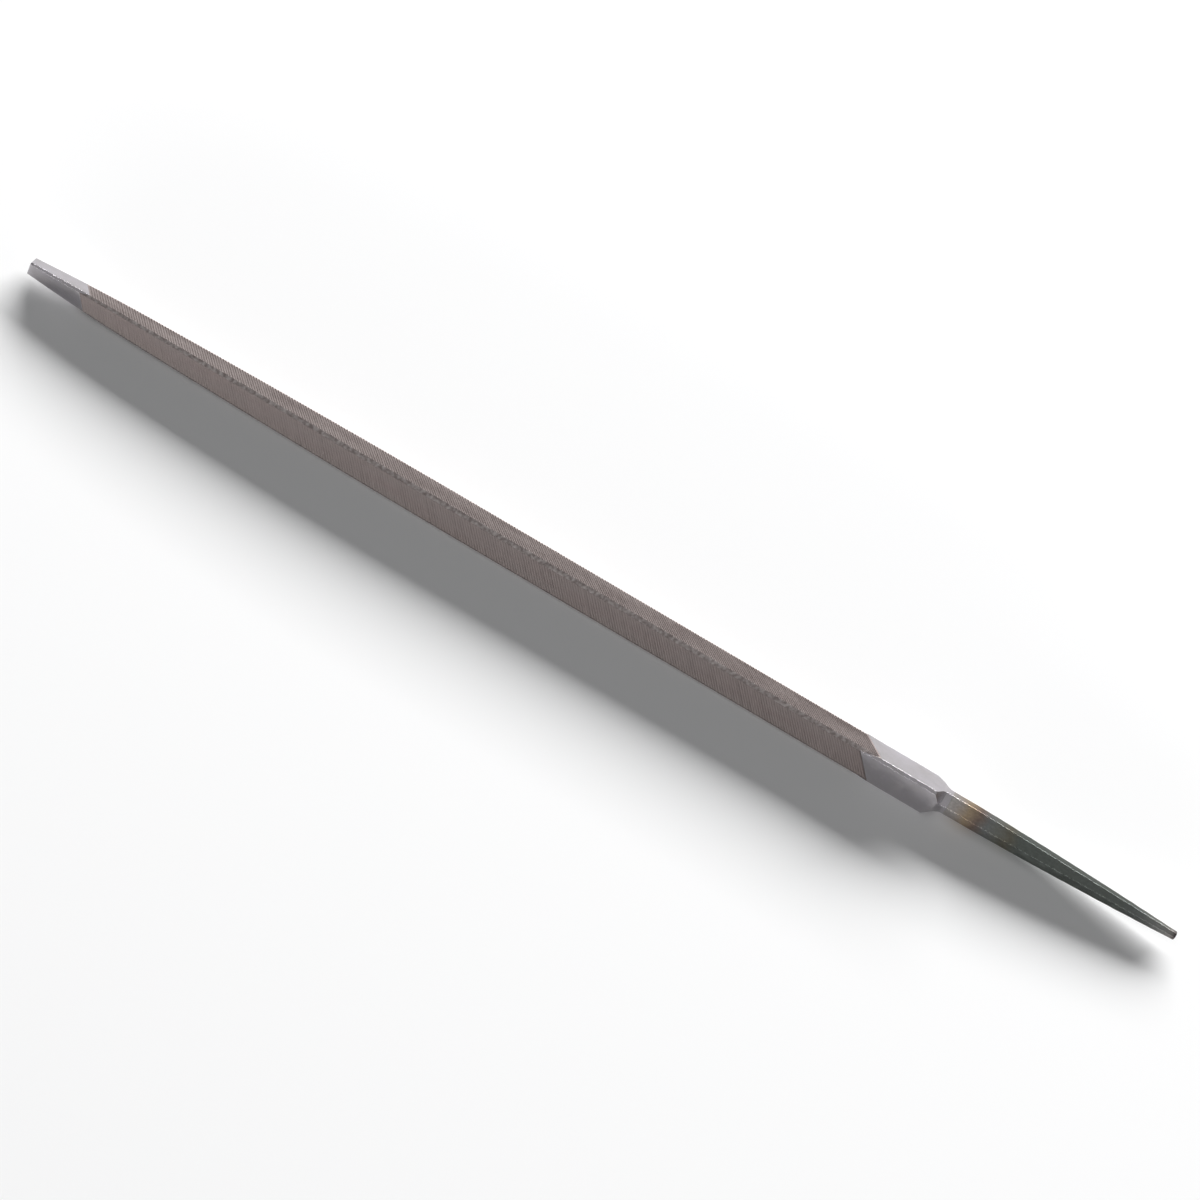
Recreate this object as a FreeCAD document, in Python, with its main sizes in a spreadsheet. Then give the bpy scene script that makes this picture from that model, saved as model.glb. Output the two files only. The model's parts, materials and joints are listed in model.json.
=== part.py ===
# Three-square (triangular) taper saw file: one forging, split into its named zones.
#
# Local frame of every zone: X along the file's own axis, 0 at the heel corner, the point at -X,
# the tang at +X, and one of the three edges (the ridge) straight up. Left is +Y and right is -Y.
# Each body's Placement then lays the file on one face, with the middle of the whole length above
# the origin.
#
# The section is a triangle whose three corners are ground to narrow flats, so it has six sides
# everywhere. Each side is described by its reach, its distance from the axis.

import FreeCAD, Part
import Sketcher
import math
import os

SIZES = {
    # overall
    "blade_length": 150.0,      # point to heel corner, the nominal length of the file
    "tang_length": 41.0,        # heel corner to the end of the tang
    "point_zone": 9.0,          # ground point that carries no teeth
    "heel_zone": 10.2,          # ground heel that carries no teeth
    "shoulder_zone": 3.1,       # heel corner to the root of the tang
    # section of the blade
    "face_reach": 1.90,         # axis to each broad face
    "edge_reach": 3.33,         # axis to each ground edge flat
    "cut_edge_reach": 3.185,    # the same from the teeth to the point, where it is a little lower
    # taper of the blade, as parts of the full section
    "taper_length": 76.5,       # point to the start of the taper
    "nose_length": 19.6,        # point to the start of the quicker taper
    "nose_ratio": 0.778,        # section left where the quicker taper starts
    "tip_ratio": 0.441,         # section left at the point
    "tip_chamfer": 0.12,
    # section of the tang at its root, about its own axis
    "tang_face_reach": 1.645,   # to the sides that run on from the blade's broad faces
    "tang_edge_reach": 1.545,   # to the sides where the triangle's edges were cut away
    "tang_offset": 0.12,        # the tang's axis lies this far to the left of the blade's
    # taper of the tang, as parts of that section; the faces draw in sooner than the edges
    "tang_taper_start": 6.85,   # from the heel corner
    "tang_knee": 9.0,           # from the heel corner to where the taper is fully under way
    "tang_face_knee_ratio": 0.985,
    "tang_edge_knee_ratio": 0.995,
    "tang_face_end_ratio": 0.358,
    "tang_edge_end_ratio": 0.390,
    "tang_end_chamfer": 0.20,
    # ramps down to the tang: where each starts, its slope in degrees, the hollow at its foot
    "face_step_start": 1.55,
    "face_step_angle": 20.0,
    "face_step_radius": 0.60,
    "ridge_ramp_start": 0.65,
    "ridge_ramp_angle": 54.0,
    "ridge_ramp_radius": 0.30,
    "left_ramp_start": 0.0,
    "left_ramp_angle": 33.0,
    "left_ramp_radius": 0.80,
    "right_ramp_start": 0.36,
    "right_ramp_angle": 49.0,
    "right_ramp_radius": 2.00,
}

# The sides in order round the axis: how far each is rolled from the ridge, whether it belongs to
# a broad face or to an edge, and the ramp that brings it down to the tang.
SIDES = {"bottom": (180.0, "face", "face_step"),
         "left_edge": (-120.0, "edge", "left_ramp"),
         "left_face": (-60.0, "face", "face_step"),
         "ridge": (0.0, "edge", "ridge_ramp"),
         "right_face": (60.0, "face", "face_step"),
         "right_edge": (120.0, "edge", "right_ramp")}
CLEARANCE = 2.0                 # how far a cutting profile reaches outside the stock
SIN_60 = math.sqrt(3) / 2
START, END = 1, 2               # point numbers of a sketch line or arc
AXES, ORIGIN_POINT = -1, 1      # the sketch's own axes and origin

doc = FreeCAD.newDocument("saw_file")


def fill_sheet():
    """Keep every driving dimension in one spreadsheet, in millimetres and degrees."""
    sheet = doc.addObject("Spreadsheet::Sheet", "Sizes")
    for row, (name, value) in enumerate(SIZES.items(), start=1):
        sheet.set(f"A{row}", name.replace("_", " "))
        sheet.set(f"B{row}", str(value))
        sheet.setAlias(f"B{row}", name)
    doc.recompute()
    return sheet


sizes = fill_sheet()


def size(name):
    """A dimension's number in the sheet."""
    return float(getattr(sizes, name))


def value(expression):
    """The number that a sheet expression comes to."""
    return float(doc.getObject("Origin").evalExpression(expression))


def new_body(label):
    """A body on the file's axis, placed so that the file lies on a face at z = 0."""
    body = doc.addObject("PartDesign::Body", label)
    body.Label = label
    body.setExpression("Placement.Base.x", "(Sizes.blade_length - Sizes.tang_length) / 2")
    body.setExpression("Placement.Base.z", "Sizes.face_reach")
    return body


def origin_feature(body, role):
    return next(item for item in body.Origin.OriginFeatures if item.Role == role)


def new_sketch(body, name, plane, roll=0.0):
    """A sketch on one of the body's origin planes, rolled about the file's axis."""
    sketch = body.newObject("Sketcher::SketchObject", name)
    sketch.AttachmentSupport = [(origin_feature(body, plane), "")]
    sketch.MapMode = "FlatFace"
    turn = FreeCAD.Rotation(FreeCAD.Vector(1, 0, 0), roll)
    sketch.AttachmentOffset = FreeCAD.Placement(FreeCAD.Vector(0, 0, 0), turn)
    return sketch


def bind(sketch, name, constraint, expression):
    """Add a dimension to a sketch and tie it to the sheet."""
    index = sketch.addConstraint(constraint)
    sketch.renameConstraint(index, name)
    sketch.setExpression(f"Constraints.{name}", expression)


def section_sketch(body, name, reach_expressions):
    """The six-sided section, each side held at its own reach. Sides go round from the bottom."""
    sketch = new_sketch(body, name, "YZ_Plane")
    reaches = [value(expression) for expression in reach_expressions]
    normals = [math.radians(-90 + 60 * side) for side in range(6)]
    corners = []
    for side in range(6):
        near, far, angle = reaches[side - 1], reaches[side], normals[side - 1]
        slide = (far - near * math.cos(math.radians(60))) / SIN_60
        corners.append(FreeCAD.Vector(near * math.cos(angle) - slide * math.sin(angle),
                                      near * math.sin(angle) + slide * math.cos(angle), 0))
    for side in range(6):
        sketch.addGeometry(Part.LineSegment(corners[side], corners[(side + 1) % 6]))
    for side in range(6):
        sketch.addConstraint(Sketcher.Constraint("Coincident", side, END, (side + 1) % 6, START))
    sketch.addConstraint(Sketcher.Constraint("Horizontal", 0))
    for side in range(1, 6):
        sketch.addConstraint(Sketcher.Constraint("Angle", side, math.radians(60 * side)))
    for side, expression in enumerate(reach_expressions):
        reach = Sketcher.Constraint("Distance", AXES, ORIGIN_POINT, side, reaches[side])
        bind(sketch, f"side_{side + 1}", reach, expression)
    return sketch


def pad_zone(body, section, start, end):
    """Extrude the section along the axis, between two places given as sheet expressions."""
    pad = body.newObject("PartDesign::Pad", section.Name + "_pad")
    pad.Profile = section
    section.setExpression(".AttachmentOffset.Base.z", start)
    pad.setExpression("Length", f"({end}) - ({start})")
    return pad


def add_arc(sketch, centre, first, last):
    """Add the short arc between two points, and say which of its ends is at which point."""
    turns = [math.atan2(point.y - centre.y, point.x - centre.x) for point in (first, last)]
    ends = (START, END)
    if (turns[1] - turns[0]) % (2 * math.pi) > math.pi:
        turns.reverse()
        ends = (END, START)
    circle = Part.Circle(centre, FreeCAD.Vector(0, 0, 1), centre.distanceToPoint(first))
    return sketch.addGeometry(Part.ArcOfCircle(circle, *turns)), ends[0], ends[1]


def taper_cut(body, name, side, stations):
    """Cut one side of the section to tangent arcs that start along the axis.

    stations are (place, reach) pairs of sheet expressions: the first is where the taper starts,
    and each later one ends an arc.
    """
    sketch = new_sketch(body, name, "XZ_Plane", SIDES[side][0])
    points = [FreeCAD.Vector(value(place), value(reach), 0) for place, reach in stations]
    heading = 0.0 if points[1].x > points[0].x else math.pi
    arcs = []
    for first, last in zip(points, points[1:]):
        chord = last - first
        bend = math.remainder(math.atan2(chord.y, chord.x) - heading, 2 * math.pi)
        radius = chord.Length / (2 * math.sin(bend))
        centre = first + FreeCAD.Vector(-math.sin(heading), math.cos(heading), 0) * radius
        arcs.append(add_arc(sketch, centre, first, last))
        heading += 2 * bend
    outside = points[0].y + CLEARANCE
    rim = [points[-1], FreeCAD.Vector(points[-1].x, outside, 0),
           FreeCAD.Vector(points[0].x, outside, 0), points[0]]
    end_line, outer_line, start_line = (sketch.addGeometry(Part.LineSegment(first, last))
                                        for first, last in zip(rim, rim[1:]))
    first_arc, first_end, _ = arcs[0]
    last_arc, _, last_end = arcs[-1]
    square = Sketcher.Constraint("Perpendicular", start_line, END, first_arc, first_end)
    sketch.addConstraint(square)
    for (before, _, before_end), (after, after_end, _) in zip(arcs, arcs[1:]):
        sketch.addConstraint(Sketcher.Constraint("Tangent", before, before_end, after, after_end))
    sketch.addConstraint(Sketcher.Constraint("Coincident", last_arc, last_end, end_line, START))
    sketch.addConstraint(Sketcher.Constraint("Coincident", end_line, END, outer_line, START))
    sketch.addConstraint(Sketcher.Constraint("Coincident", outer_line, END, start_line, START))
    sketch.addConstraint(Sketcher.Constraint("Vertical", end_line))
    sketch.addConstraint(Sketcher.Constraint("Horizontal", outer_line))
    sketch.addConstraint(Sketcher.Constraint("Vertical", start_line))
    outer = Sketcher.Constraint("DistanceY", AXES, ORIGIN_POINT, outer_line, START, outside)
    bind(sketch, "outside", outer, f"{stations[0][1]} + {CLEARANCE}")
    ends = [(first_arc, first_end)] + [(arc, arc_end) for arc, _, arc_end in arcs]
    for number, ((place, reach), point, (arc, arc_end)) in enumerate(zip(stations, points, ends)):
        across = Sketcher.Constraint("DistanceX", AXES, ORIGIN_POINT, arc, arc_end, point.x)
        upward = Sketcher.Constraint("DistanceY", AXES, ORIGIN_POINT, arc, arc_end, point.y)
        bind(sketch, f"place_{number}", across, place)
        bind(sketch, f"reach_{number}", upward, reach)
    return cut_through(body, sketch)


def tang_reach(side, stage=""):
    """Expression for how far a side of the tang is from the blade's axis, at its root or later."""
    roll, kind, _ = SIDES[side]
    ratio = f" * Sizes.tang_{kind}_{stage}_ratio" if stage else ""
    leftward = -math.sin(math.radians(roll))
    return f"Sizes.tang_{kind}_reach{ratio} + ({leftward:.6f}) * Sizes.tang_offset"


def ramp_cut(body, side):
    """Cut a ramp down one side, from the blade's reach to the tang's, with a hollow foot."""
    roll, kind, ramp = SIDES[side]
    sketch = new_sketch(body, side + "_ramp", "XZ_Plane", roll)
    start, radius = size(ramp + "_start"), size(ramp + "_radius")
    slope = math.radians(size(ramp + "_angle"))
    high, low, stop = size(kind + "_reach"), value(tang_reach(side)), size("shoulder_zone")
    foot = start + (high - low) / math.tan(slope)
    setback = radius * math.tan(slope / 2)
    outside = high + CLEARANCE
    top = FreeCAD.Vector(start, high, 0)
    leave = FreeCAD.Vector(foot - setback * math.cos(slope), low + setback * math.sin(slope), 0)
    land = FreeCAD.Vector(foot + setback, low, 0)
    ramp_line = sketch.addGeometry(Part.LineSegment(top, leave))
    centre = FreeCAD.Vector(foot + setback, low + radius, 0)
    hollow, leave_end, land_end = add_arc(sketch, centre, leave, land)
    rim = [land, FreeCAD.Vector(stop, low, 0), FreeCAD.Vector(stop, outside, 0),
           FreeCAD.Vector(start, outside, 0), top]
    base_line, stop_line, outer_line, start_line = (
        sketch.addGeometry(Part.LineSegment(first, last)) for first, last in zip(rim, rim[1:]))
    sketch.addConstraint(Sketcher.Constraint("Tangent", ramp_line, END, hollow, leave_end))
    sketch.addConstraint(Sketcher.Constraint("Tangent", hollow, land_end, base_line, START))
    for first, last in ((base_line, stop_line), (stop_line, outer_line), (outer_line, start_line),
                        (start_line, ramp_line)):
        sketch.addConstraint(Sketcher.Constraint("Coincident", first, END, last, START))
    for line in (base_line, outer_line):
        sketch.addConstraint(Sketcher.Constraint("Horizontal", line))
    for line in (stop_line, start_line):
        sketch.addConstraint(Sketcher.Constraint("Vertical", line))
    places = (("start", "DistanceX", ramp_line, START, start, f"Sizes.{ramp}_start"),
              ("high", "DistanceY", ramp_line, START, high, f"Sizes.{kind}_reach"),
              ("low", "DistanceY", base_line, END, low, tang_reach(side)),
              ("stop", "DistanceX", base_line, END, stop, "Sizes.shoulder_zone"),
              ("outside", "DistanceY", outer_line, START, outside,
               f"Sizes.{kind}_reach + {CLEARANCE}"))
    for label, kind, line, line_end, number, expression in places:
        place = Sketcher.Constraint(kind, AXES, ORIGIN_POINT, line, line_end, number)
        bind(sketch, label, place, expression)
    bind(sketch, "hollow", Sketcher.Constraint("Radius", hollow, radius),
         f"Sizes.{ramp}_radius")
    bind(sketch, "slope", Sketcher.Constraint("Angle", ramp_line, -slope),
         f"-Sizes.{ramp}_angle")
    return cut_through(body, sketch)


def cut_through(body, sketch):
    """Cut a profile right across the body, to both sides of the sketch."""
    pocket = body.newObject("PartDesign::Pocket", sketch.Name + "_pocket")
    pocket.Profile = sketch
    pocket.Type = "ThroughAll"
    pocket.SideType = "Symmetric"
    doc.recompute()
    return pocket


def repeat_three_ways(body, cuts, name):
    """Repeat cuts on all three faces or edges of the triangle."""
    pattern = body.newObject("PartDesign::PolarPattern", name)
    pattern.Originals = cuts
    pattern.Axis = (origin_feature(body, "X_Axis"), [""])
    pattern.Angle = 360
    pattern.Occurrences = 3
    body.Tip = pattern
    doc.recompute()
    return pattern


def ease_end(body, name, place, expression):
    """Chamfer the edges that lie in the plane across the axis at this place."""
    base = body.Tip
    edges = [f"Edge{number}" for number, edge in enumerate(base.Shape.Edges, start=1)
             if all(abs(point.X - place) < 1e-6 for point in edge.Vertexes)]
    chamfer = body.newObject("PartDesign::Chamfer", name)
    chamfer.Base = (base, edges)
    chamfer.setExpression("Size", expression)
    body.Tip = chamfer


def blade_section(body, name, edge_alias):
    """The blade's full section: broad faces and edge flats in turn."""
    return section_sketch(body, name, ["Sizes.face_reach", "Sizes." + edge_alias] * 3)


def blade_zone(label, start, end):
    """A length of the cut blade, with the taper that the whole blade has from its point."""
    body = new_body(label)
    pad_zone(body, blade_section(body, label + "_section", "cut_edge_reach"), start, end)
    tapers = []
    for side, alias in (("bottom", "face_reach"), ("ridge", "cut_edge_reach")):
        stations = (("Sizes.taper_length - Sizes.blade_length", f"Sizes.{alias}"),
                    ("Sizes.nose_length - Sizes.blade_length", f"Sizes.{alias} * Sizes.nose_ratio"),
                    ("-Sizes.blade_length", f"Sizes.{alias} * Sizes.tip_ratio"))
        tapers.append(taper_cut(body, f"{label}_{side}_taper", side, stations))
    repeat_three_ways(body, tapers, label + "_taper")
    return body


def ground_point():
    """The bare ground point: it carries no teeth, and its end is cut square and eased."""
    body = blade_zone("ground_point", "-Sizes.blade_length",
                      "Sizes.point_zone - Sizes.blade_length")
    ease_end(body, "point_end", -size("blade_length"), "Sizes.tip_chamfer")
    return body


def toothed_blade():
    """The cut length, with its three broad faces toothed to the edges."""
    return blade_zone("toothed_blade", "Sizes.point_zone - Sizes.blade_length",
                      "-Sizes.heel_zone")


def ground_heel():
    """The bare ground heel: the full section, with no taper."""
    body = new_body("ground_heel")
    section = blade_section(body, "heel_section", "edge_reach")
    body.Tip = pad_zone(body, section, "-Sizes.heel_zone", "0")
    return body


def tang_shoulder():
    """Every side comes down from the blade to the tang: the edges ramp, the faces only step."""
    body = new_body("tang_shoulder")
    pad_zone(body, blade_section(body, "shoulder_section", "edge_reach"), "0",
             "Sizes.shoulder_zone")
    for side in SIDES:
        body.Tip = ramp_cut(body, side)
    return body


def tang():
    """The tang: six flats about an axis of their own, drawn in towards a blunt, eased end."""
    body = new_body("tang")
    section = section_sketch(body, "tang_section", [tang_reach(side) for side in SIDES])
    pad_zone(body, section, "Sizes.shoulder_zone", "Sizes.tang_length")
    for side in SIDES:
        stations = (("Sizes.tang_taper_start", tang_reach(side)),
                    ("Sizes.tang_knee", tang_reach(side, "knee")),
                    ("Sizes.tang_length", tang_reach(side, "end")))
        body.Tip = taper_cut(body, f"{side}_tang_taper", side, stations)
    ease_end(body, "tang_end", size("tang_length"), "Sizes.tang_end_chamfer")
    return body


def check(bodies):
    """Stop if any object failed to build, or any zone is not one sound solid."""
    for item in doc.Objects:
        if "Invalid" in item.State or "Error" in item.State:
            raise RuntimeError(f"{item.Name} did not build: {item.State}")
    for body in bodies:
        shape = body.Shape
        if shape.isNull() or not shape.isValid() or len(shape.Solids) != 1:
            raise RuntimeError(f"{body.Label} is not one sound solid")
        box = shape.optimalBoundingBox()
        print(f"{body.Label}: {shape.Volume:.1f} mm3, X {box.XMin:.2f} to {box.XMax:.2f}, "
              f"Y {box.YMin:.2f} to {box.YMax:.2f}, Z {box.ZMin:.2f} to {box.ZMax:.2f}")


zones = [ground_point(), toothed_blade(), ground_heel(), tang_shoulder(), tang()]
doc.recompute()
check(zones)
os.makedirs("parts", exist_ok=True)
for zone in zones:
    zone.Shape.exportStep(f"parts/{zone.Label}.step")
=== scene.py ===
# %% [markdown]
# # A three-square file, in steel
#
# This is a slim triangular file: one bar of carbon steel, forged, ground, cut with teeth and
# hardened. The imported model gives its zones, sizes and places. Here each zone gets its real
# surface: teeth that stand out of the metal, ground faces, and a tang with forge scale on it.

# %% Load the frame
import json
import math
import bpy
import numpy as np
from mathutils import Matrix, Vector, noise


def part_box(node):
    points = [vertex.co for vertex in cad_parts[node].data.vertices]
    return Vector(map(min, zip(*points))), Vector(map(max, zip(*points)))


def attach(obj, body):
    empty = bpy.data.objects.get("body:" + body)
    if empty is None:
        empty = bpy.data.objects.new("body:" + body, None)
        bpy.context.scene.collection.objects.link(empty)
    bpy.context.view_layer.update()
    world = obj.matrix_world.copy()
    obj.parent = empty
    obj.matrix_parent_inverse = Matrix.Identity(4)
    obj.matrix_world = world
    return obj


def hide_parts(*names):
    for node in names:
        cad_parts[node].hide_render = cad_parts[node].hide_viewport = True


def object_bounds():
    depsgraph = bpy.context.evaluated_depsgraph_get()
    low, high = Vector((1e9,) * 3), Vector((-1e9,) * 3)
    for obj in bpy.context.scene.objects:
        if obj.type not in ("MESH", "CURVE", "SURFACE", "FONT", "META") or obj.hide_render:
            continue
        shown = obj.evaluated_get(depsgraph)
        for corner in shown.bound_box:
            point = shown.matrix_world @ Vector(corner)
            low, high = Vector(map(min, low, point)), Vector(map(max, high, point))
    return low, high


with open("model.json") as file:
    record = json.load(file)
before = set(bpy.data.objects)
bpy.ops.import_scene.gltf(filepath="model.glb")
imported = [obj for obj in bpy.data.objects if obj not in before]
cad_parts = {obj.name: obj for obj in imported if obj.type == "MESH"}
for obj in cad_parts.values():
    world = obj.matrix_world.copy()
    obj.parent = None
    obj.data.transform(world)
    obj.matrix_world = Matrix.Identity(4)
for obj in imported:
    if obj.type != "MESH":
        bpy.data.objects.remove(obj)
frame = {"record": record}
cad_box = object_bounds()
print("the whole file, low and high corners in metres:", cad_box)

# %% [markdown]
# ## Where the zones lie
#
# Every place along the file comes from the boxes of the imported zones. The file lies on one face,
# so the height of its axis is also the distance from the axis to each broad face. The tang mount
# in the record lies on the tang's own axis, which runs at that height but a little to the left.

# %% Read the zones
MM = 0.001


def ends(node):
    """The lowest and highest place of a zone along the file."""
    low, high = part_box(node)
    return low[0], high[0]


def top(node):
    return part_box(node)[1][2]


TIP, CUT_START = ends("ground_point")
CUT_END = ends("toothed_blade")[1]
HEEL, ROOT = ends("tang_shoulder")
TANG_END = ends("tang")[1]
_, TANG_OFFSET, AXIS = next(m["pos_m"] for m in frame["record"]["mounts"] if m["name"] == "tang")
FACE_REACH = AXIS
EDGE_REACH = top("ground_heel") - AXIS
CUT_EDGE_REACH = top("toothed_blade") - AXIS
TANG_FACE_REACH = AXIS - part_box("tang")[0][2]
TANG_EDGE_REACH = top("tang") - AXIS
print(f"axis {AXIS / MM:.3f} mm up, edges {EDGE_REACH / MM:.3f} mm from it")

# %% [markdown]
# ## The section and how it tapers
#
# Anywhere along the file the section has six sides: three broad faces, and three narrow flats
# where the triangle's corners are ground away. Six distances from the axis describe it. The blade
# is full behind its middle, then bows gently in towards the point, and quicker over the last
# part. Each stretch is so nearly straight that a parabola stands in for its arc.

# %% The section and the taper
# stations along the file: a place, and how much of the full section is left there
BLADE_TAPER = ((TIP + 76.5 * MM, 1.0), (TIP + 19.6 * MM, 0.778), (TIP, 0.441))
TANG_FACE_TAPER = ((HEEL + 6.85 * MM, 1.0), (HEEL + 9.0 * MM, 0.985), (TANG_END, 0.358))
TANG_EDGE_TAPER = ((HEEL + 6.85 * MM, 1.0), (HEEL + 9.0 * MM, 0.995), (TANG_END, 0.390))
# bottom, left edge, left face, ridge, right face, right edge
SIDE_ANGLES = np.radians([-90, -30, 30, 90, 150, 210])
NORMALS = np.stack([np.cos(SIDE_ANGLES), np.sin(SIDE_ANGLES)], axis=1)
TANGENTS = np.stack([-np.sin(SIDE_ANGLES), np.cos(SIDE_ANGLES)], axis=1)
SIN_60 = math.sqrt(3) / 2


def bowed(x, stations):
    """How much is left at x. Stations are (place, ratio), level at the first and then smooth."""
    slope = 0.0
    for (start, before), (stop, after) in zip(stations, stations[1:]):
        length = stop - start
        along = (x - start) / length
        bend = after - before - slope * length
        if along <= 1 or stop == stations[-1][0]:
            along = min(max(along, 0.0), 1.0)
            return before + slope * length * along + bend * along ** 2
        slope += 2 * bend / length


def blade_ratio(x):
    return bowed(x, BLADE_TAPER)


def tang_reaches(x):
    """The six distances from the blade's axis to the sides of the tang at x."""
    face = TANG_FACE_REACH * bowed(x, TANG_FACE_TAPER)
    edge = TANG_EDGE_REACH * bowed(x, TANG_EDGE_TAPER)
    return np.array([face, edge] * 3) + NORMALS[:, 0] * TANG_OFFSET


def corner(reaches, side):
    """Where a side meets the one before it, in the plane across the file."""
    before, here = reaches[side - 1], reaches[side]
    slide = (here - before * 0.5) / SIN_60
    return NORMALS[side - 1] * before + TANGENTS[side - 1] * slide


def half_face(face_reach, edge_reach):
    return (2 * edge_reach - face_reach) / math.sqrt(3)


print(f"broad faces {2 * half_face(FACE_REACH, EDGE_REACH) / MM:.2f} mm wide")

# %% [markdown]
# ## A ring of points round the section
#
# A ground corner is never quite sharp, and the tiny round on it is what catches the light. Each
# corner becomes a small arc, with one more point just past each end of the arc. Those points keep
# the flat sides flat when the mesh is shaded smooth.

# %% Rings and lofts
ARC_STEPS = 3
HALF_TURN = math.radians(30)    # half the turn from one side to the next
TURN_FACTOR = 1.5               # twice the squared cosine of that
SUPPORT = 0.02 * MM
SUPPORT_SHARE = 0.3             # the most of a gap between two rings that a support ring may take


def section_ring(reaches, radius, between=0):
    """Points round the section, and for each one how far it lies across its broad face."""
    points, across = [], []
    for side in range(6):
        tip = corner(reaches, side)
        setback = radius * math.tan(HALF_TURN)
        centre = tip - (NORMALS[side - 1] + NORMALS[side]) / TURN_FACTOR * radius
        arc = [centre + radius * np.array([math.cos(angle), math.sin(angle)])
               for angle in np.linspace(SIDE_ANGLES[side - 1] - (2 * math.pi if side == 0 else 0),
                                        SIDE_ANGLES[side], ARC_STEPS + 1)]
        lead = tip - TANGENTS[side - 1] * (setback + SUPPORT)
        follow = tip + TANGENTS[side] * (setback + SUPPORT)
        group = [lead, *arc, follow]
        if between:
            stop = corner(reaches, (side + 1) % 6) - TANGENTS[side] * (setback + SUPPORT)
            group += [follow + (stop - follow) * step / (between + 1)
                      for step in range(1, between + 1)]
        face = side if side % 2 == 0 else side - 1
        points += group
        across += [float(np.dot(point, TANGENTS[face])) for point in group]
    return np.array(points), np.array(across)


def mesh_object(name, points, faces, smooth=0):
    """A mesh whose first faces, as many as smooth says, are shaded smooth."""
    mesh = bpy.data.meshes.new(name)
    mesh.from_pydata([tuple(point) for point in points], [], faces)
    mesh.validate()
    mesh.polygons.foreach_set("use_smooth", [i < smooth for i in range(len(mesh.polygons))])
    piece = bpy.data.objects.new(name, mesh)
    bpy.context.collection.objects.link(piece)
    return piece


def nudged(ring, towards):
    """A ring moved by the support distance towards its neighbour."""
    gap = abs(towards[:, 0] - ring[:, 0]).min()
    return ring + (towards - ring) * min(SUPPORT / gap, SUPPORT_SHARE)


def loft(name, rings):
    """Skin a row of rings, each an array of points, and close both ends with a flat fan.

    The caps tilt the shading of the sides where they meet. One more ring just inside each end
    keeps that to a hairline.
    """
    rings = [rings[0], nudged(rings[0], rings[1]), *rings[1:-1],
             nudged(rings[-1], rings[-2]), rings[-1]]
    count = len(rings[0])
    points = np.concatenate([*rings, [rings[0].mean(axis=0)], [rings[-1].mean(axis=0)]])
    first_hub, last_hub = len(points) - 2, len(points) - 1
    faces = []
    for ring in range(len(rings) - 1):
        start = ring * count
        for here in range(count):
            there = (here + 1) % count
            faces.append((start + here, start + there, start + count + there, start + count + here))
    skin_faces = len(faces)
    last = (len(rings) - 1) * count
    for here in range(count):
        there = (here + 1) % count
        faces.append((there, here, first_hub))
        faces.append((last + here, last + there, last_hub))
    return mesh_object(name, points, faces, smooth=skin_faces)


def place(x, flat):
    """Points of a section, moved along the file to x and up to its axis."""
    along = np.full(len(flat), x) if np.isscalar(x) else x
    return np.stack([along, flat[:, 0], flat[:, 1] + AXIS], axis=1)


# %% [markdown]
# ## The teeth
#
# A single-cut file has one set of parallel teeth, struck across each face by a chisel at a slant.
# Each tooth is a small wave with a steep side towards the point, which does the cutting, and a
# long back. They are modelled as real geometry, because at grazing angles the rows of teeth make
# the edges of the file bristle, which a bump map can't do. The slant turns the same way round on
# all three faces. A few hundredths of unevenness in each blow keep the rows from looking printed.

# %% Where the teeth run
PITCH = 0.46 * MM
TOOTH_DEPTH = 0.12 * MM
# width of the narrow side columns; the one by the ridge on the lit upper face carries the painted
# highlight
WEAR_AND_HIGHLIGHT_WIDTH = 0.10 * MM
EDGE_DEPTH = 0.3                # how deep the teeth still are at the very edge of a face
TIP_DEPTH = 0.55                # how deep they would be where the section shrinks to nothing
WOBBLE = 0.15                   # unevenness of the depth along a tooth
WOBBLE_GRAIN = 1.3              # lumps per mm
FACE_APART = 9.0                # so that no two faces share the same lumps
ACROSS_GRAIN = 3
DRIFT = 0.015                   # spread of the blows, as part of the pitch
BITE = 0.04                     # spread of their depth
LUCK_SEED = 7
HEEL_SLANT = 0.60
TIP_SLANT = 0.45
HALF_CUT = half_face(FACE_REACH, CUT_EDGE_REACH)
# columns across a face, from -1 to 1, with a narrow one at each side
ACROSS = (-1.0, -1 + WEAR_AND_HIGHLIGHT_WIDTH / HALF_CUT, -0.75, -0.5, -0.25, 0.0,
          0.25, 0.5, 0.75, 1 - WEAR_AND_HIGHLIGHT_WIDTH / HALF_CUT, 1.0)
# along the tooth, as part of the pitch, and how deep, as part of the depth
TOOTH_PROFILE = ((0.00, 1.00), (0.20, 0.04), (0.28, 0.00), (0.62, 0.62))
TOOTH_COUNT = round((CUT_END - CUT_START) / PITCH)
print(f"{TOOTH_COUNT} teeth on each face")


def slant(x):
    """How far a tooth runs along the file for each unit across a face."""
    part = (x - CUT_START) / (CUT_END - CUT_START)
    return TIP_SLANT + (HEEL_SLANT - TIP_SLANT) * part


def tooth_rows():
    """The centre line of the cut: each row's place along the file, and its depth.

    The first and the last row have no depth, so that they meet the ground metal flush.
    """
    luck = np.random.default_rng(LUCK_SEED)
    pitch = (CUT_END - CUT_START) / TOOTH_COUNT
    rows = []
    for tooth in range(TOOTH_COUNT):
        drift = 0.0 if tooth == 0 else luck.normal(0, DRIFT)
        bite = TOOTH_DEPTH * (1 + luck.normal(0, BITE))
        for along, depth in TOOTH_PROFILE:
            rows.append((CUT_START + (tooth + along + drift) * pitch, depth * bite))
    rows[0] = (CUT_START, 0.0)
    rows.append((CUT_END, 0.0))
    return rows


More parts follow.
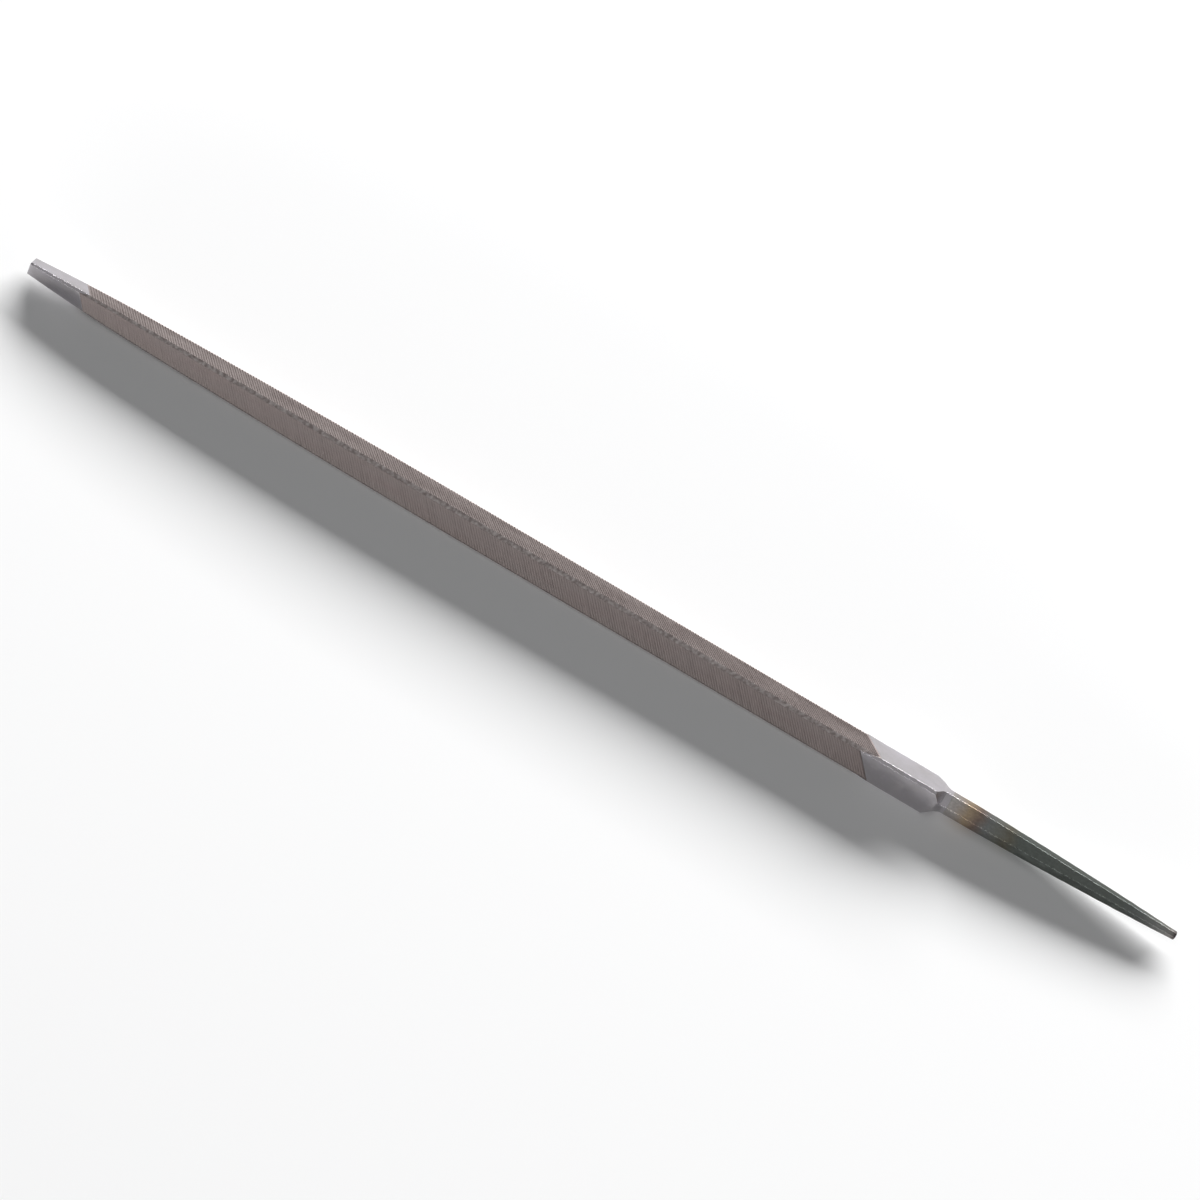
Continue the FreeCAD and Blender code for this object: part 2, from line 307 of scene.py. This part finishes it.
# %% Build the toothed blade
def toothed_face(side, rows):
    """The points of one cut face, row by row."""
    points = []
    for x, depth in rows:
        for v in ACROSS:
            along = x + v * HALF_CUT * blade_ratio(x) * slant(x)
            ratio = blade_ratio(along)
            across = v * HALF_CUT * ratio
            spot = Vector((along / MM * WOBBLE_GRAIN, side * FACE_APART, v * ACROSS_GRAIN))
            wobble = WOBBLE * noise.noise(spot)
            deep = depth * min(1, TIP_DEPTH + (1 - TIP_DEPTH) * ratio) * (1 + wobble)
            if abs(v) == 1:
                deep *= EDGE_DEPTH
            flat = NORMALS[side] * (FACE_REACH * ratio - deep) + TANGENTS[side] * across
            points.append((along, flat[0], flat[1] + AXIS))
    return np.array(points)


def zip_edges(left, right, points):
    """Triangles between two rows of points whose places along the file don't line up."""
    faces = []
    i = j = 0
    while i < len(left) - 1 or j < len(right) - 1:
        step_left = j == len(right) - 1 or (
            i < len(left) - 1 and points[left[i + 1]][0] < points[right[j + 1]][0])
        if step_left:
            faces.append((left[i], right[j], left[i + 1]))
            i += 1
        else:
            faces.append((left[i], right[j], right[j + 1]))
            j += 1
    return faces


FACE_SIDES = (0, 2, 4)
LEFT_FACE = 1                   # its place in that row
TUCK = 0.2 * MM                 # how far a flat runs on under the ground metal
TUCK_SCALE = 0.996


def tucked_corners(face, x):
    """The two corners of a flat at x, a hair inside the metal."""
    reaches = np.array([FACE_REACH, CUT_EDGE_REACH] * 3) * blade_ratio(x) * TUCK_SCALE
    return place(x, np.array([corner(reaches, 2 * face + 1), corner(reaches, (2 * face + 2) % 6)]))


def toothed_blade():
    """The cut steel, and which faces get brighter steel: the worn flats, and a painted highlight by
    the ridge.
    """
    rows = tooth_rows()
    grids = [toothed_face(side, rows) for side in FACE_SIDES]
    size = len(grids[0])
    width = len(ACROSS)
    points = np.concatenate(grids)
    faces, wear_and_highlight_faces = [], []
    for face in range(3):
        for row in range(len(rows) - 1):
            for column in range(width - 1):
                a = face * size + row * width + column
                # the narrow column by the ridge on the lit upper face gets the brighter steel: a
                # painted highlight
                if face == LEFT_FACE and column == width - 2:
                    wear_and_highlight_faces.append(len(faces))
                faces.append((a, a + 1, a + width + 1, a + width))
    for face in range(3):
        left = [face * size + row * width + width - 1 for row in range(len(rows))]
        right = [(face + 1) % 3 * size + row * width for row in range(len(rows))]
        faces += zip_edges(left, right, points)
    # each flat runs on a little way under the ground metal, so that no notch opens between them
    for row, turn in ((0, -1), (len(rows) - 1, 1)):
        for face in range(3):
            left = face * size + row * width + width - 1
            right = (face + 1) % 3 * size + row * width
            far = turn * max(turn * points[left][0], turn * points[right][0]) + turn * TUCK
            extra = len(points)
            points = np.concatenate([points, tucked_corners(face, far)])
            flap = (left, right, extra + 1, extra)
            faces.append(flap if turn > 0 else flap[::-1])
    # the flats are worn, so they take the brighter steel too
    wear_and_highlight_faces += range(3 * (len(rows) - 1) * (width - 1), len(faces))
    for row, turn in ((0, -1), (len(rows) - 1, 1)):
        ring = [face * size + row * width + column for face in range(3) for column in range(width)]
        hub = len(points)
        points = np.concatenate([points, [points[ring].mean(axis=0)]])
        for here, there in zip(ring, ring[1:] + ring[:1]):
            faces.append((here, there, hub) if turn > 0 else (there, here, hub))
    return mesh_object("toothed_blade_cut", points, faces), wear_and_highlight_faces


blade, wear_and_highlight_faces = toothed_blade()
print(f"the toothed blade has {len(blade.data.polygons)} faces")

# %% [markdown]
# ## The ground point and heel
#
# Both ends of the blade are left uncut. The chisel's last line is slanted, so the bright ground
# metal ends on the same slant on every face. The end of the point is cut square, and its edges
# are eased a little.

# %% Build the point and the heel
CORNER_RADIUS = 0.04 * MM
EASE = 0.12 * MM
EASE_STEPS = (0.5, 1.0)
EASE_FULLNESS = 0.98            # how nearly the eased edge turns through a full quarter circle
EASED_RADIUS = 0.8              # the corner radius left there, as part of the whole


def slanted_zone(name, cut_at, plain_at, edge_reach, steps, end_inset=0.0):
    """Ground metal between the slanted end of the teeth and a plane across the file."""
    reaches = np.array([FACE_REACH, edge_reach] * 3)
    flat, across = section_ring(reaches, CORNER_RADIUS)
    from_teeth = cut_at + across * blade_ratio(cut_at) * slant(cut_at)
    outward = math.copysign(1, plain_at - cut_at)
    rings = []
    for part in np.linspace(0, 1, steps):
        x = from_teeth + (plain_at - outward * end_inset - from_teeth) * part
        ratio = np.array([blade_ratio(place_x) for place_x in x])
        rings.append(place(x, flat * ratio[:, None]))
    if end_inset:
        ratio = blade_ratio(plain_at)
        for part in EASE_STEPS:
            shrink = end_inset * (1 - math.sqrt(1 - EASE_FULLNESS * part ** 2))
            inner, _ = section_ring(reaches * ratio - shrink, CORNER_RADIUS * EASED_RADIUS)
            rings.append(place(plain_at - outward * end_inset * (1 - part), inner))
    return loft(name, rings if outward > 0 else rings[::-1])


point = slanted_zone("ground_point_steel", CUT_START, TIP, CUT_EDGE_REACH, steps=14, end_inset=EASE)
heel = slanted_zone("ground_heel_steel", CUT_END, HEEL, EDGE_REACH, steps=8)
print("point and heel:", len(point.data.polygons), len(heel.data.polygons), "faces")

# %% [markdown]
# ## The shoulder
#
# Behind the heel the three edges of the triangle are cut away in ramps, so that the tang is thin
# enough to drive into a handle. Each ramp was ground by hand, so each starts at its own place and
# has its own slope, and each runs out in a hollow at its foot. The broad faces come down by a
# shallow step of their own. The section is still six sides
# anywhere, so the whole shoulder is one loft whose six distances change along it. The rings lie
# close together because the folds are sharp.

# %% Build the shoulder
# for each: its start behind the heel corner, its slope in degrees, the radius at its foot
FACE_STEP = (1.55 * MM, 20.0, 0.60 * MM)
LEFT_RAMP = (0.0 * MM, 33.0, 0.80 * MM)
RIDGE_RAMP = (0.65 * MM, 54.0, 0.30 * MM)
RIGHT_RAMP = (0.36 * MM, 49.0, 2.00 * MM)
RAMPS = (FACE_STEP, LEFT_RAMP, FACE_STEP, RIDGE_RAMP, FACE_STEP, RIGHT_RAMP)
BLADE_REACHES = (FACE_REACH, EDGE_REACH) * 3


def ramp(x, start, slope, radius, high, low):
    """The distance from the axis on a ramp with a hollow foot."""
    angle = math.radians(slope)
    foot = start + (high - low) / math.tan(angle)
    land = foot + radius * math.tan(angle / 2)
    leave = foot - radius * math.tan(angle / 2) * math.cos(angle)
    if x <= start:
        return high
    if x <= leave:
        return high - (x - start) * math.tan(angle)
    if x <= land:
        return low + radius - math.sqrt(radius ** 2 - (land - x) ** 2)
    return low


def shoulder_reaches(x):
    return np.array([ramp(x - HEEL, *shape, high, low)
                     for shape, high, low in zip(RAMPS, BLADE_REACHES, tang_reaches(ROOT))])


SHOULDER_STEP = 0.04 * MM
places = np.linspace(HEEL, ROOT, round((ROOT - HEEL) / SHOULDER_STEP) + 1)
shoulder = loft("tang_shoulder_steel", [
    place(x, section_ring(shoulder_reaches(x), CORNER_RADIUS)[0]) for x in places])
print("shoulder:", len(shoulder.data.polygons), "faces")

# %% [markdown]
# ## The tang
#
# The tang is never finished: it keeps the skin it got from the forge and from the heat of
# hardening, so its surface is slightly wavy and pitted. The loft is fine enough to be pushed in
# by a few hundredths of a millimetre. It is only ever pushed in, so the tang keeps its size.

# %% Build the tang
TANG_STEP = 0.16 * MM
TANG_CORNER = 1.5               # its corners are rounder than the blade's by this much
TANG_COLUMNS = 4                # points across each side, for the unevenness
TANG_EASE = 0.20 * MM
TANG_EASE_STEPS = (0.35, 0.65, 0.88, 1.0)
TANG_EASE_FULLNESS = 0.9
WAVE = 0.05 * MM
WAVE_FADE = 4 * MM
LUMP_GRAIN = 0.7                # lumps per mm


def forged(ring, x):
    """Push a ring in by a smooth unevenness that fades out at the shoulder."""
    fade = min(1.0, (x - ROOT) / WAVE_FADE)
    centre = np.array([TANG_OFFSET, AXIS])
    for point_3d in ring:
        lump = noise.fractal(Vector(point_3d) / MM * LUMP_GRAIN, 1.0, 2.0, 3)
        depth = WAVE * fade * min(1.0, max(0.0, 0.5 + 0.5 * lump))
        arm = point_3d[1:] - centre
        point_3d[1:] -= arm / np.linalg.norm(arm) * depth
    return ring


def tang_rings():
    steps = round((TANG_END - TANG_EASE - ROOT) / TANG_STEP)
    rings = []
    for x in np.linspace(ROOT, TANG_END - TANG_EASE, steps + 1):
        flat = section_ring(tang_reaches(x), CORNER_RADIUS * TANG_CORNER, TANG_COLUMNS)[0]
        rings.append(forged(place(x, flat), x))
    for part in TANG_EASE_STEPS:
        shrink = TANG_EASE * (1 - math.sqrt(1 - TANG_EASE_FULLNESS * part ** 2))
        x = TANG_END - TANG_EASE * (1 - part)
        flat = section_ring(tang_reaches(x) - shrink, CORNER_RADIUS, TANG_COLUMNS)[0]
        rings.append(forged(place(x, flat), x))
    return rings


tang = loft("tang_scaled_steel", tang_rings())
print("tang:", len(tang.data.polygons), "faces")

# %% [markdown]
# ## Materials
#
# The whole file is one carbon steel, so every material here is a metal and they differ in how the
# surface was made: ground bright, cut and blasted matt, or coloured and scaled by heat. Colours are
# given as sRGB hex values and one function turns them to linear light. Patterns use the object's
# own coordinates, in millimetres, so a size in a material is a real size.

# %% Material helpers
def colour(code):
    """An sRGB hex colour as linear light."""
    parts = [int(code[i:i + 2], 16) / 255 for i in (0, 2, 4)]
    return (*(c / 12.92 if c <= 0.04045 else ((c + 0.055) / 1.055) ** 2.4 for c in parts), 1.0)


def add(tree, kind, links=None, **settings):
    """Add a node, set its properties, and fill its inputs with values or with other outputs."""
    node = tree.nodes.new(kind)
    for name, setting in settings.items():
        setattr(node, name, setting)
    for name, source in (links or {}).items():
        if isinstance(source, bpy.types.NodeSocket):
            tree.links.new(source, node.inputs[name])
        else:
            node.inputs[name].default_value = source
    return node


def new_steel(name):
    """An empty metal material: its tree, its shader, and the object's coordinates in mm."""
    material = bpy.data.materials.new(name)
    material.use_nodes = True
    tree = material.node_tree
    shader = tree.nodes["Principled BSDF"]
    shader.inputs["Metallic"].default_value = 1.0
    place_on = add(tree, "ShaderNodeTexCoord")
    in_mm = add(tree, "ShaderNodeVectorMath", {0: place_on.outputs["Object"], 1: (1 / MM,) * 3},
                operation="MULTIPLY")
    return material, tree, shader, in_mm.outputs[0]


def ramp_of(tree, factor, stops):
    """A colour ramp with its stops, as (place, hex colour) pairs."""
    ramp_node = add(tree, "ShaderNodeValToRGB", {"Fac": factor})
    elements = ramp_node.color_ramp.elements
    while len(elements) < len(stops):
        elements.new(0.5)
    for element, (place_on, code) in zip(elements, stops):
        element.position = place_on
        element.color = colour(code)
    return ramp_node.outputs["Color"]


def stretched(tree, in_mm, scale, **more):
    """Noise whose grain is stretched: scale is the number of grains per mm along X, Y and Z."""
    place_on = add(tree, "ShaderNodeVectorMath", {0: in_mm, 1: scale}, operation="MULTIPLY")
    links = {"Vector": place_on.outputs[0], "Scale": 1.0, **more}
    return add(tree, "ShaderNodeTexNoise", links).outputs["Fac"]


def spread(tree, factor, low, high):
    """Turn noise, which stays mostly between 0.3 and 0.7, into values between low and high."""
    links = {"Value": factor, "From Min": 0.3, "From Max": 0.7, "To Min": low, "To Max": high}
    return add(tree, "ShaderNodeMapRange", links).outputs["Result"]


# %% [markdown]
# ### Ground steel
#
# The point and the heel were ground on a coarse wheel before the teeth were cut. Bare ground
# steel is bright and fairly smooth, and the wheel leaves fine lines across the file, which break
# up its reflections. Such lines lie something like 0.1 mm apart; here they are drawn twice as
# coarse so that they show. A little handling has dulled it in patches.

# %% Ground steel
GRIND_LINES = 1 / 0.2
SMUDGE = 1 / 2.5


def ground_steel():
    material, tree, shader, in_mm = new_steel("ground carbon steel")
    lines = stretched(tree, in_mm, (GRIND_LINES, 0.5, 0.5), Detail=3.0)
    smudge = stretched(tree, in_mm, (SMUDGE, SMUDGE, SMUDGE), Detail=3.0)
    tint = ramp_of(tree, smudge, ((0.3, "b8b4b9"), (0.7, "aba7a9")))
    tree.links.new(tint, shader.inputs["Base Color"])
    rough = add(tree, "ShaderNodeMath", {0: spread(tree, smudge, 0.18, 0.24),
                                         1: spread(tree, lines, -0.03, 0.03)}, operation="ADD")
    tree.links.new(rough.outputs[0], shader.inputs["Roughness"])
    bump = add(tree, "ShaderNodeBump", {"Height": lines, "Strength": 0.25, "Distance": 0.01 * MM})
    tree.links.new(bump.outputs[0], shader.inputs["Normal"])
    return material


# %% [markdown]
# ### Cut steel
#
# After hardening, the teeth are blasted clean with fine sand. That leaves a matt warm grey, with
# no mirror left in it. The grains are something like 0.05 mm; they are drawn at 0.15 mm.

# %% Cut steel
BLAST_GRAIN = 1 / 0.15


def cut_steel():
    material, tree, shader, in_mm = new_steel("cut and blasted carbon steel")
    grain = stretched(tree, in_mm, (BLAST_GRAIN,) * 3, Detail=2.0)
    patches = stretched(tree, in_mm, (0.12, 0.5, 0.5), Detail=4.0)
    tint = ramp_of(tree, patches, ((0.3, "6d6462"), (0.7, "78706e")))
    tree.links.new(tint, shader.inputs["Base Color"])
    tree.links.new(spread(tree, patches, 0.50, 0.58), shader.inputs["Roughness"])
    bump = add(tree, "ShaderNodeBump", {"Height": grain, "Strength": 0.4, "Distance": 0.01 * MM})
    tree.links.new(bump.outputs[0], shader.inputs["Normal"])
    return material


# %% [markdown]
# ### Worn edge steel, with a painted highlight
#
# Use has rubbed the narrow flats between the faces, so they are brighter. The thin broken line of
# brighter metal beside the upper ridge, on the lit upper face only, is a painted highlight for the
# glint that corner catches.

# %% Worn edge steel and painted highlight
def wear_and_highlight_steel():
    material, tree, shader, in_mm = new_steel("worn edge of carbon steel")
    nicks = stretched(tree, in_mm, (2.0, 2.0, 2.0), Detail=3.0)
    tree.links.new(ramp_of(tree, nicks, ((0.38, "7d7472"), (0.66, "a09997"))),
                   shader.inputs["Base Color"])
    tree.links.new(spread(tree, nicks, 0.36, 0.5), shader.inputs["Roughness"])
    return material


# %% [markdown]
# ### Heat-coloured steel
#
# The tang is softened after hardening, so that it won't snap in its handle. The heat leaves thin
# oxide films next to the shoulder, straw, then brown and purple, and then a dark blue-grey scale
# that is no longer bare metal. Towards its end the scale is worn paler. The bands follow the heat,
# so their edges wander.

# %% Heat-coloured steel
def tempered_steel():
    material, tree, shader, in_mm = new_steel("tempered and scaled carbon steel")
    wander = stretched(tree, in_mm, (0.35, 0.9, 0.9), Detail=3.0)
    speckle = stretched(tree, in_mm, (2.2, 3.5, 3.5), Detail=4.0)
    along = add(tree, "ShaderNodeSeparateXYZ", {0: in_mm}).outputs["X"]
    shifted = add(tree, "ShaderNodeMath", {0: along, 1: spread(tree, wander, -0.4, 0.4)},
                  operation="ADD").outputs[0]
    part = add(tree, "ShaderNodeMapRange", {"Value": shifted, "From Min": ROOT / MM,
                                            "From Max": TANG_END / MM}).outputs["Result"]
    bands = ramp_of(tree, part, (
        (0.00, "b9b5b2"), (0.034, "b5aeaa"), (0.08, "ad9a82"), (0.125, "83736a"),
        (0.17, "7d7f7e"), (0.216, "7a7b75"), (0.26, "716e63"), (0.31, "686d69"),
        (0.76, "686d69"), (0.83, "6e7270"), (0.945, "898a87"), (0.98, "898683"), (1.00, "524849")))
    dark = add(tree, "ShaderNodeMix", {"Factor": spread(tree, speckle, 0.0, 0.35)},
               data_type="RGBA", blend_type="MULTIPLY")
    colour_inputs = [socket for socket in dark.inputs if socket.type == "RGBA"]
    tree.links.new(bands, colour_inputs[0])
    colour_inputs[1].default_value = colour("8c8a84")
    result = next(socket for socket in dark.outputs if socket.type == "RGBA")
    tree.links.new(result, shader.inputs["Base Color"])
    tree.links.new(spread(tree, speckle, 0.16, 0.24), shader.inputs["Roughness"])
    shader.inputs["Specular Tint"].default_value = colour("c8c8c8")
    bump = add(tree, "ShaderNodeBump", {"Height": speckle, "Strength": 0.25, "Distance": 0.03 * MM})
    tree.links.new(bump.outputs[0], shader.inputs["Normal"])
    return material


# %% Put the materials on
ground, cut, wear_and_highlight, tempered = ground_steel(), cut_steel(), wear_and_highlight_steel(), tempered_steel()
for piece in (point, heel, shoulder):
    piece.data.materials.append(ground)
tang.data.materials.append(tempered)
blade.data.materials.append(cut)
blade.data.materials.append(wear_and_highlight)
# the worn flats and the painted highlight beside the ridge get the brighter steel
wear_and_highlight_index = np.zeros(len(blade.data.polygons), dtype=np.int32)
wear_and_highlight_index[wear_and_highlight_faces] = 1
blade.data.polygons.foreach_set("material_index", wear_and_highlight_index)

# %% [markdown]
# ## Tie the pieces to the frame
#
# Each piece stands for its packed zone, and all of them belong to the file's one rigid body.

# %% Ride and replace
for piece, node, slot in ((point, "ground_point", "ground_steel"),
                          (blade, "toothed_blade", "cut_steel"),
                          (heel, "ground_heel", "ground_steel"),
                          (shoulder, "tang_shoulder", "ground_steel"),
                          (tang, "tang", "tang_steel")):
    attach(piece, "root")
    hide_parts(node)

# %% [markdown]
# ## The stage, the lights and the camera
#
# Steel shows what is round it. The face that looks bright mirrors a lit table, and the face that
# looks dark mirrors the strip of table in the file's own shadow. So the main light is a wide
# softbox low on one side, and a dimmer one hangs overhead for the ridge and the top of the tang.
# A card beyond the tang lights the ramps, and a low strip opposite the main light lifts the
# darker faces a little.

# %% Stage
SOFT_FLOOR = "f4f4f4"
TABLE_SIZE = 4.0
TABLE_GAP = 0.02 * MM


def floor():
    bpy.ops.mesh.primitive_plane_add(size=TABLE_SIZE, location=(0, 0, -TABLE_GAP))
    table = bpy.context.object
    table.name = "table"
    material = bpy.data.materials.new("matt white table")
    material.use_nodes = True
    shader = material.node_tree.nodes["Principled BSDF"]
    shader.inputs["Base Color"].default_value = colour(SOFT_FLOOR)
    shader.inputs["Roughness"].default_value = 0.9
    shader.inputs["Specular IOR Level"].default_value = 0.0
    table.data.materials.append(material)


def softbox(name, place_at, width, height, power):
    """A white panel of light, turned to face the file. Sizes in metres, power in watts."""
    light = bpy.data.lights.new(name, "AREA")
    light.shape = "RECTANGLE"
    light.size, light.size_y = width, height
    light.energy = power
    lamp = bpy.data.objects.new(name, light)
    lamp.location = place_at
    lamp.rotation_euler = (-Vector(place_at)).to_track_quat("-Z", "Y").to_euler()
    bpy.context.collection.objects.link(lamp)


floor()
softbox("key softbox", (0.10, 2.38, 0.77), 3.0, 0.65, 215.0)
softbox("overhead softbox", (0.0, 0.10, 1.30), 1.8, 1.4, 3.6)
softbox("end card softbox", (2.26, 0.31, 0.73), 1.2, 0.6, 2.0)
softbox("low fill softbox", (0.0, -2.40, 0.21), 3.0, 0.30, 38.0)
world = bpy.data.worlds.new("studio")
world.use_nodes = True
world.node_tree.nodes["Background"].inputs["Color"].default_value = colour("e8ecf2")
world.node_tree.nodes["Background"].inputs["Strength"].default_value = 0.05
bpy.context.scene.world = world
bpy.context.scene.view_settings.view_transform = "Standard"

# %% Camera
VIEW_ABOVE = math.radians(82.5)
ROLL = math.radians(30.43)
FRAME_WIDTH = 172.6 * MM
LENS = 150.0
SENSOR = 36.0
AIM_SHIFT = (-0.45 * MM, -0.22 * MM, 0.0)
low, high = (Vector(corner_at) for corner_at in cad_box)
centre = (low + high) / 2 + Vector(AIM_SHIFT)
back = Vector((0, -math.cos(VIEW_ABOVE), math.sin(VIEW_ABOVE)))
upright = Vector((0, math.sin(VIEW_ABOVE), math.cos(VIEW_ABOVE)))
right = Vector((1, 0, 0)) * math.cos(ROLL) + upright * math.sin(ROLL)
up = upright * math.cos(ROLL) - Vector((1, 0, 0)) * math.sin(ROLL)
camera_data = bpy.data.cameras.new("camera")
camera_data.lens, camera_data.sensor_width = LENS, SENSOR
camera = bpy.data.objects.new("camera", camera_data)
turned = Matrix((right, up, back)).transposed().to_4x4()
turned.translation = centre + back * FRAME_WIDTH * LENS / SENSOR
camera.matrix_world = turned
camera_data.clip_start = 0.01
bpy.context.collection.objects.link(camera)
bpy.context.scene.camera = camera
